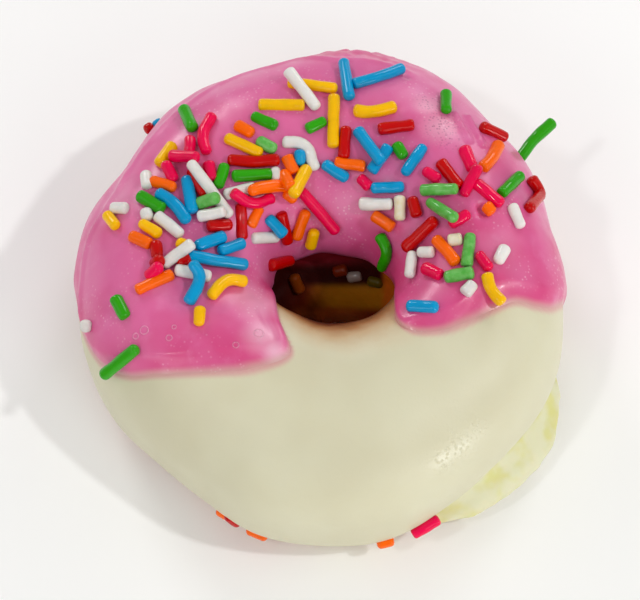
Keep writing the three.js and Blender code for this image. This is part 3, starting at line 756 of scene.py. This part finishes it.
class Shader:
    """A material whose nodes are added one by one."""

    def __init__(self, name, **settings):
        self.material = bpy.data.materials.new(name)
        self.material.use_nodes = True
        self.tree = self.material.node_tree
        self.inputs = self.tree.nodes["Principled BSDF"].inputs
        for key, value in settings.items():
            self.inputs[key.replace("_", " ")].default_value = value
        inputs = {0: self.add("TexCoord").outputs["Object"], "Scale": 1 / MM}
        self.place = self.add("VectorMath", inputs, operation="SCALE").outputs[0]  # in millimetres

    def add(self, kind, inputs=None, **settings):
        node = self.tree.nodes.new(f"ShaderNode{kind}")
        for key, value in settings.items():
            setattr(node, key, value)
        for key, value in (inputs or {}).items():
            if isinstance(value, bpy.types.NodeSocket):
                self.tree.links.new(value, node.inputs[key])
            else:
                node.inputs[key].default_value = value
        return node

    def noise(self, size, detail=3.0, roughness=0.5):
        inputs = {"Vector": self.place, "Scale": 1 / size, "Detail": detail, "Roughness": roughness}
        return self.add("TexNoise", inputs).outputs["Fac"]

    def dots(self, size, reach):
        """Round dots about a size apart, 1 in the middle and 0 from a reach on."""
        inputs = {"Vector": self.place, "Scale": 1 / size, "Randomness": 1.0}
        distance = self.add("TexVoronoi", inputs).outputs["Distance"]
        return self.remap(distance, 0, reach / size, 1, 0)

    def rings(self, bubbles):
        """Thin rings round burst bubbles, each given by its middle and its radius."""
        total = 0.0
        for middle, radius in bubbles:
            inputs = {0: self.place, 1: middle}
            distance = self.add("VectorMath", inputs, operation="DISTANCE").outputs[1]
            away = self.math("ABSOLUTE", self.math("SUBTRACT", distance, radius))
            total = self.math("ADD", self.remap(away, 0, RING_WIDTH, 1, 0), total)
        return total

    def attribute(self, name):
        return self.add("Attribute", attribute_name=name).outputs["Fac"]

    def remap(self, value, start, end, low=0.0, high=1.0):
        inputs = {"Value": value, "From Min": start, "From Max": end, "To Min": low, "To Max": high}
        return self.add("MapRange", inputs, interpolation_type="SMOOTHSTEP").outputs[0]

    def blend(self, share, first, second):
        """A colour between two colours, each given as a colour or as another node's output."""
        return self.add("Mix", {"Factor": share, 6: first, 7: second}, data_type="RGBA").outputs[2]

    def layers(self, base, *layers):
        """A colour with others laid over it, each after its cover: a painted name or an output."""
        for share, shade in layers:
            share = self.attribute(share) if isinstance(share, str) else share
            base = self.blend(share, base, shade)
        return base

    def ramp(self, share, stops):
        """A colour that follows a list of places from 0 to 1, each with its colour."""
        node = self.add("ValToRGB", {"Fac": share})
        elements = node.color_ramp.elements
        while len(elements) < len(stops):
            elements.new(0.5)
        for element, (place, shade) in zip(elements, stops):
            element.position = place
            element.color = shade
        return node.outputs["Color"]

    def math(self, operation, first, second=0.0):
        return self.add("Math", {0: first, 1: second}, operation=operation).outputs[0]

    def raise_by(self, height, distance, strength=1.0, under=None):
        """A bump whose height, in millimetres, is a node's output times the distance."""
        inputs = {"Height": height, "Distance": distance * MM, "Strength": strength}
        if under is not None:
            inputs["Normal"] = under
        return self.add("Bump", inputs).outputs[0]

    def to(self, socket, value):
        self.tree.links.new(value, self.inputs[socket])


def colour(red, green, blue):
    """A colour given as it shows on a screen, from 0 to 255, as the shader's linear one."""
    def linear(value):
        value /= 255
        return value / 12.92 if value <= 0.04045 else ((value + 0.055) / 1.055) ** 2.4

    return (linear(red), linear(green), linear(blue), 1.0)


PINK = colour(218, 100, 154)
PINK_DEEP = colour(208, 66, 124)
PINK_PALE = colour(226, 140, 182)
# The colour of the painted highlights, and of the glints painted on specks and bubble rims.
PINK_PAINTED_HIGHLIGHT = colour(240, 204, 218)
PINK_PIT = colour(120, 44, 84)
PINK_SHADE_WINE = colour(92, 10, 22)
CREAM = colour(211, 207, 178)
CREAM_DEEP = colour(203, 197, 166)
# The cream icing as it thins out into the hole and the dough shows through, darkened further by
# painted shade.
INTO_HOLE = [
    (0.0, CREAM),
    (0.25, colour(209, 198, 166)),
    (0.45, colour(200, 176, 136)),
    (0.65, colour(168, 122, 74)),
    (0.85, colour(108, 54, 16)),
    (1.0, colour(62, 20, 4)),
]
CRUST = colour(186, 118, 54)
CRUST_DARK = colour(140, 78, 30)
CRUST_PALE = colour(217, 215, 182)
CRUST_YELLOW = colour(212, 208, 140)
HOLE_RED = colour(120, 34, 2)
# Painted shade and painted light, laid over the red of the dough in the hole.
HOLE_PAINTED_SHADE_AND_LIGHT = [
    ("painted_light_slope", colour(184, 118, 6)),
    ("deep_and_painted_shade", colour(56, 4, 0)),
    ("painted_light_right", colour(204, 100, 14)),
    ("wine_painted_shade", colour(150, 22, 40)),
    ("low", colour(190, 96, 30)),
]
# The brown of the painted shade on the sprinkles in the hole.
SPRINKLE_SHADE_BROWN = colour(100, 48, 12)
SUGAR = {
    "white": colour(228, 225, 220),
    "yellow": colour(250, 190, 0),
    "orange": colour(255, 104, 0),
    "red": colour(194, 0, 0),
    "pink": colour(234, 0, 76),
    "green": colour(46, 160, 8),
    "blue": colour(0, 152, 206),
}
PALE_SUGAR = {"white": colour(222, 210, 168), "green": colour(112, 184, 96)}
SUGAR_DARKENING = 0.66
RING_WIDTH = 0.17  # of the ring round a burst bubble


def white_shader():
    """Cream icing that browns into the hole, partly thin icing over dough and partly painted shade,
    pimpled where it has a sheen.
    """
    shader = Shader("white_icing_set", Subsurface_Weight=0.15, Subsurface_Scale=0.002)
    shader.inputs["Subsurface Radius"].default_value = (1.0, 0.85, 0.6)
    mottle = shader.remap(shader.noise(16, 2.0), 0.35, 0.7, 0.0, 0.6)
    into_hole = shader.attribute("into_hole")
    uneven = shader.remap(shader.noise(3, 2.0), 0.2, 0.8, -0.04, 0.04)
    hole = shader.ramp(shader.math("ADD", into_hole, uneven), INTO_HOLE)
    inside = shader.remap(into_hole, 0.0, 0.2)
    tinge = shader.math("MULTIPLY", shader.attribute("tinge"), 0.5)
    layers = [(mottle, CREAM_DEEP), (inside, hole), (tinge, PINK_DEEP)]
    shader.to("Base Color", shader.layers(CREAM, *layers))
    grain = shader.noise(0.28, 3.0, 0.6)
    soft = shader.raise_by(shader.noise(6), 0.12, 0.5)
    fine = shader.raise_by(grain, 0.01, 0.5, under=soft)
    sheen = shader.attribute("sheen")
    pimply = shader.remap(sheen, 0, 1, 0.15, 1)
    pimples = shader.math("MULTIPLY", shader.dots(0.6, 0.35), pimply)
    shader.to("Normal", shader.raise_by(pimples, 0.09, 0.7, under=fine))
    dull = shader.remap(grain, 0.3, 0.7, 0.4, 0.5)
    shader.to("Roughness", shader.math("SUBTRACT", dull, shader.math("MULTIPLY", sheen, 0.2)))
    return shader.material


def pink_shader(bubbles):
    """Glossy pink icing with light specks, dark pores and burst bubbles, with painted glints,
    painted highlights and painted shade.
    """
    shader = Shader("pink_icing_set", Subsurface_Weight=0.12, Subsurface_Scale=0.0015)
    shader.inputs["Subsurface Radius"].default_value = (1.0, 0.45, 0.6)
    shader.inputs["Coat Weight"].default_value = 0.12
    shader.inputs["Coat Roughness"].default_value = 0.14
    mottle = shader.remap(shader.noise(9, 2.0), 0.4, 0.7, -0.2, 0.35)
    deep_and_painted_shade = shader.math("ADD", shader.attribute("deep_and_painted_shade"), mottle)
    thin = shader.remap(shader.noise(5, 4.0), 0.5, 0.8, 0.0, 0.4)
    speckled = shader.attribute("speckled")
    scattered = shader.remap(shader.noise(7), 0.45, 0.7, 0.0, 0.7)
    often = shader.math("MAXIMUM", speckled, scattered)
    dots = shader.math("MULTIPLY", shader.dots(0.8, 0.28), often)
    pits = shader.math("MULTIPLY", shader.dots(0.55, 0.26), shader.attribute("porous"))
    rings = shader.rings(bubbles)
    specks = shader.math("MULTIPLY", dots, 0.6)
    # Laid over the pink: painted shade where it is deep and in the mouth, painted highlights, and
    # glints painted on specks and bubble rims.
    layers = [
        (deep_and_painted_shade, PINK_DEEP), (thin, PINK_PALE), (shader.math("MULTIPLY", speckled, 0.35), PINK_PALE),
        (shader.math("ADD", specks, shader.math("MULTIPLY", rings, 0.22)), PINK_PAINTED_HIGHLIGHT),
        ("painted_highlight", PINK_PAINTED_HIGHLIGHT), (pits, PINK_PIT), ("edge", CREAM_DEEP), ("mouth_painted_shade", PINK_SHADE_WINE),
    ]
    shader.to("Base Color", shader.layers(PINK, *layers))
    soft = shader.raise_by(shader.noise(4.0, 2.0), 0.06, 0.5)
    grain = shader.raise_by(shader.noise(0.5, 2.0), 0.006, 0.5, under=soft)
    bubbly = shader.raise_by(rings, 0.12, 0.8, under=grain)
    dotted = shader.math("SUBTRACT", dots, pits)
    shader.to("Normal", shader.raise_by(dotted, 0.03, 0.4, under=bubbly))
    shader.to("Roughness", shader.remap(shader.noise(2.0, 4.0), 0.3, 0.7, 0.28, 0.4))
    return shader.material


def dough_shader():
    """Fried crust, pale at its band and its bulge, with painted shade and painted light in the
    hole.
    """
    shader = Shader("fried_dough", Subsurface_Weight=0.1, Subsurface_Scale=0.002)
    shader.inputs["Specular IOR Level"].default_value = 0.15
    mottle = shader.remap(shader.noise(5, 5.0), 0.35, 0.7)
    yellow = shader.remap(shader.noise(4.5, 2.0), 0.42, 0.72)
    pale = shader.blend(yellow, CRUST_PALE, CRUST_YELLOW)
    hole = shader.layers(HOLE_RED, *HOLE_PAINTED_SHADE_AND_LIGHT)
    layers = [(mottle, CRUST_DARK), ("pale", pale), ("inside", hole)]
    shader.to("Base Color", shader.layers(CRUST, *layers))
    grain = shader.noise(0.9, 5.0, 0.6)
    wrinkles = shader.raise_by(shader.noise(3.2, 3.0), 0.35, 0.6)
    shader.to("Normal", shader.raise_by(grain, 0.08, 0.6, under=wrinkles))
    shader.to("Roughness", shader.remap(grain, 0.3, 0.7, 0.5, 0.75))
    return shader.material


def sugar(name):
    shader = Shader(f"sugar_{name}", Subsurface_Weight=0.08, Subsurface_Scale=0.0008)
    base = SUGAR[name]
    shader.inputs["Specular IOR Level"].default_value = 0.1
    shader.inputs["Specular Tint"].default_value = base
    shader.inputs["Coat Weight"].default_value = 0.5
    shader.inputs["Coat Roughness"].default_value = 0.03
    darker = tuple(value * SUGAR_DARKENING for value in base[:3]) + (1.0,)
    patches = shader.remap(shader.noise(1.4), 0.4, 0.75, 0.0, 0.2)
    shade = shader.math("MULTIPLY", shader.attribute("tint"), 0.3)
    mixed = shader.blend(shader.math("ADD", shade, patches), base, darker)
    if name in PALE_SUGAR:
        frosted = shader.remap(shader.noise(1.1, 4.0), 0.35, 0.7, 0.45, 1.0)
        pale = shader.math("MULTIPLY", shader.attribute("pale"), frosted)
        mixed = shader.blend(pale, mixed, PALE_SUGAR[name])
    # Painted shade darkens the sprinkles in the hole to brown.
    shader.to("Base Color", shader.blend(shader.attribute("painted_hole_shade"), mixed, SPRINKLE_SHADE_BROWN))
    grain = shader.noise(0.35, 3.0)
    shader.to("Normal", shader.raise_by(grain, 0.02, 0.4))
    shader.to("Roughness", shader.remap(grain, 0.3, 0.7, 0.24, 0.42))
    return shader.material


def floor_shader():
    shader = Shader("studio_floor", Roughness=0.7)
    cloud = shader.noise(60)
    shader.to("Base Color", shader.blend(cloud, colour(252, 252, 251), colour(248, 248, 247)))
    return shader.material


# ---------- The doughnut ----------


def spots(points, throw, places):
    """How strongly each point is covered by soft round spots round photo pixels."""
    cover = 0 * points[..., 0]
    for x, y, reach, strength in places:
        away = np.linalg.norm(points - throw((x, y)), axis=-1)
        cover = np.maximum(cover, strength * bump(away, 0, reach))
    return cover


def both_faces(values):
    """Numbers for a coat's outer face, repeated for its inner one."""
    return np.concatenate([values, values[:, ::-1]], axis=1)


def build_dough():
    grid = dough_grid()
    piece = skin("dough_ring", grid, True, dough_shader())
    column = np.arange(grid.shape[1])
    plan = shares(PLAN_STEPS)[:, None] * 360
    down_wall = np.clip((column - SIDE_STEPS - TOP_STEPS) / WALL_STEPS, -1, 1)[None, :]
    height = grid[..., 2]
    band = bump(height, PALE_BAND_HEIGHT, 4) * (0.6 + 0.25 * waves(grid, 9, 21))
    across, down = pixels(grid)
    on_bulge = smooth(np.abs(turn(BULGE_PLAN, plan)), *PALE_BULGE_ENDS)
    paints = {
        "inside": smooth(down_wall, -0.1, 0.0),
        # In the hole: painted shade darkens the top of the wall, painted light brightens its slope,
        # right side and foot, and dark red is painted as shade under the pink's edge.
        "deep_and_painted_shade": 1 - smooth(down, *DARK_ENDS) * smooth(across, *DARK_LEFT_OF),
        "painted_light_slope": smooth(across, *SUNNY_FROM) * (1 - smooth(down, *SUNNY_ENDS)),
        "painted_light_right": smooth(across, *LIT_FROM),
        "wine_painted_shade": (1 - smooth(down, *WINE_ENDS)) * bump(plan, *WINE_PLAN),
        "low": smooth(down, *SUNNY_ENDS) * bump(across, *LOW_PAINTED_LIGHT),
        "pale": np.clip(on_bulge * smooth(height, 0.6, 4.0) + band, 0, 1),
    }
    for name, values in paints.items():
        paint(piece, name, np.broadcast_to(values, height.shape))
    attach(piece, "root")
    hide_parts("dough")
    return grid


def build_white(throw):
    grid, plan, section = white_grid()
    piece = skin("white_coat", grid, True, white_shader())
    start = np.interp(plan, INTO_HOLE_PLANS, INTO_HOLE_START)
    end = np.interp(plan, INTO_HOLE_PLANS, INTO_HOLE_END)
    paint(piece, "into_hole", both_faces(np.clip((section - start) / (end - start), 0, 1)))
    points = ring_point(plan, section, 0)
    right_turn = turn(plan, along(PINK_RIGHT_END, section))
    left_turn = turn(along(PINK_LEFT_END, section), plan)
    right = distance_from(PINK_RIGHT_END, right_turn, section, points)
    left = distance_from(PINK_LEFT_END, left_turn, section, points)
    outside = np.maximum(np.minimum(right, left), 0)
    width = mix(PINK_TINGE, PINK_TINGE / 3, smooth(section, *PINK_END_TURN))
    paint(piece, "tinge", both_faces(bump(outside, 0, width)))
    paint(piece, "sheen", both_faces(spots(points, throw, SHEEN)))
    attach(piece, "root")
    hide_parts("white_icing")


def build_pink(throw):
    points, plan, section, full, right_gap, left_gap = pink_places()
    bubbles = [(tuple(placed(throw((x, y))) / MM), radius) for x, y, radius in BUBBLES]
    grid = pink_grid(points, plan, section, full, left_gap)
    piece = skin("pink_coat", grid, False, pink_shader(bubbles))
    # The pink is deeper near its two ends, at the far rim and in a line beside the hole: partly a
    # deeper tone, partly painted shade.
    ends = np.maximum(bump(left_gap, 0, 13) * 0.7, bump(right_gap, 0, 20))
    far_rim = bump(plan, 84, 26) * smooth(section, 50, 38)
    by_hole = bump(left_gap, 1.7, 1.5) * smooth(section, 104, 118)
    # Painted shade darkens it into the mouth of the hole and in the crater, and it fades into the
    # cream at its ends.
    mouth_painted_shade = smooth(section, 163, 186) * bump(plan, 84, 110)
    fade = mix(PINK_FADE, PINK_FADE / 2, smooth(section, *PINK_END_TURN))
    paints = {
        "deep_and_painted_shade": np.maximum.reduce([ends, far_rim, by_hole, spots(points, throw, PAINTED_SHADES)]),
        "mouth_painted_shade": np.maximum(mouth_painted_shade, spots(points, throw, CRATER)),
        "edge": bump(np.minimum(left_gap, right_gap), 0, fade) * 0.5,
        "painted_highlight": spots(points, throw, PAINTED_HIGHLIGHTS),
        "porous": spots(points, throw, POROUS),
        "speckled": spots(points, throw, SPECKLED),
    }
    for name, values in paints.items():
        paint(piece, name, both_faces(values))
    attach(piece, "root")
    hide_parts("pink_icing")


def build_sprinkles(on_pink, in_hole):
    throws = [(ON_ICING, on_pink), (AT_RIM, at_rim), (AT_FOOT, at_foot), (IN_HOLE, in_hole)]
    rods = {}
    for layout, throw in throws:
        for (kind, *_), line in zip(layout, settle(layout, throw)):
            rod = (line, float(kind in PALE_KINDS), HOLE_SPRINKLE_SHADE[kind] if layout is IN_HOLE else 0.0)
            rods.setdefault(PALE_KINDS.get(kind, kind), []).append(rod)
    for seed, (name, group) in enumerate(sorted(rods.items()), start=SPRINKLE_SEED):
        piece = sprinkle_piece(name, group, seed)
        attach(piece, "root")
        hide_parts("pink_icing")


# ---------- The studio ----------


# Lights all round the doughnut: the plan angle, power in watts and size in metres of each.
SOFT_BOXES = [
    (0, 0.8, 0.6), (60, 2.4, 0.4), (120, 3.0, 0.3),
    (180, 0.8, 0.6), (240, 2.2, 0.6), (300, 1.8, 0.6),
]
SOFT_BOX_DISTANCE = 1.0
SOFT_BOX_HEIGHT = 0.58
# Lights for the highlights: the place, size and power of each.
LAMPS = {
    "window": ((-0.42, -0.27, 0.87), 0.08, 0.9),
    "low_sheen": ((0.71, -0.69, 0.16), 0.25, 1.8),
    "sparkle": ((0.62, -0.16, 0.9), 0.05, 2.6),
}
SKY = (1.0, 0.99, 0.97, 1.0)
SKY_STRENGTH = 0.36
FLOOR_REACH = 3.0  # metres from its middle to each side


def build_floor():
    mesh = bpy.data.meshes.new("floor")
    corners = [(-1, -1), (1, -1), (1, 1), (-1, 1)]
    points = [(x * FLOOR_REACH, y * FLOOR_REACH, 0) for x, y in corners]
    mesh.from_pydata(points, [], [(0, 1, 2, 3)])
    mesh.materials.append(floor_shader())
    new_object("floor", mesh)


def aimed_object(name, data, place):
    """Puts a light or camera at a place in metres, aimed at the middle of the ring."""
    thing = new_object(name, data)
    thing.location = place
    direction = Vector(placed(RING_MIDDLE)) - thing.location
    thing.rotation_euler = direction.to_track_quat("-Z", "Y").to_euler()
    return thing


def area_light(name, place, size, power):
    light = bpy.data.lights.new(name, "AREA")
    light.size = size
    light.energy = power
    aimed_object(name, light, place)


def build_lights():
    for plan, power, size in SOFT_BOXES:
        place = polar(plan, SOFT_BOX_DISTANCE, SOFT_BOX_HEIGHT)
        area_light(f"soft_box_{plan}", place, size, power)
    for name, lamp in LAMPS.items():
        area_light(name, *lamp)
    world = bpy.data.worlds.new("studio")
    world.use_nodes = True
    background = world.node_tree.nodes["Background"]
    background.inputs["Color"].default_value = SKY
    background.inputs["Strength"].default_value = SKY_STRENGTH
    bpy.context.scene.world = world


def build_camera():
    camera = bpy.data.cameras.new("camera")
    camera.sensor_fit = "HORIZONTAL"
    camera.sensor_width = 36
    camera.lens = camera.sensor_width * EYE_DISTANCE / (PHOTO_SIZE[0] * SHEET_GRID)
    camera.shift_y = (SHEET_MIDDLE[1] - PHOTO_SIZE[1] / 2) / PHOTO_SIZE[0]
    camera.clip_start = 0.01
    bpy.context.scene.camera = aimed_object("camera", camera, placed(EYE))


in_hole = throw_onto(build_dough())
build_white(throw_onto_icing(0))
build_pink(throw_onto_icing(GAP + PINK_THICKNESS))
build_sprinkles(throw_onto_icing(GAP + PINK_THICKNESS + LINE_HEIGHT), in_hole)
build_floor()
build_lights()
build_camera()
bpy.context.scene.view_settings.view_transform = "Standard"

bpy.context.view_layer.update()
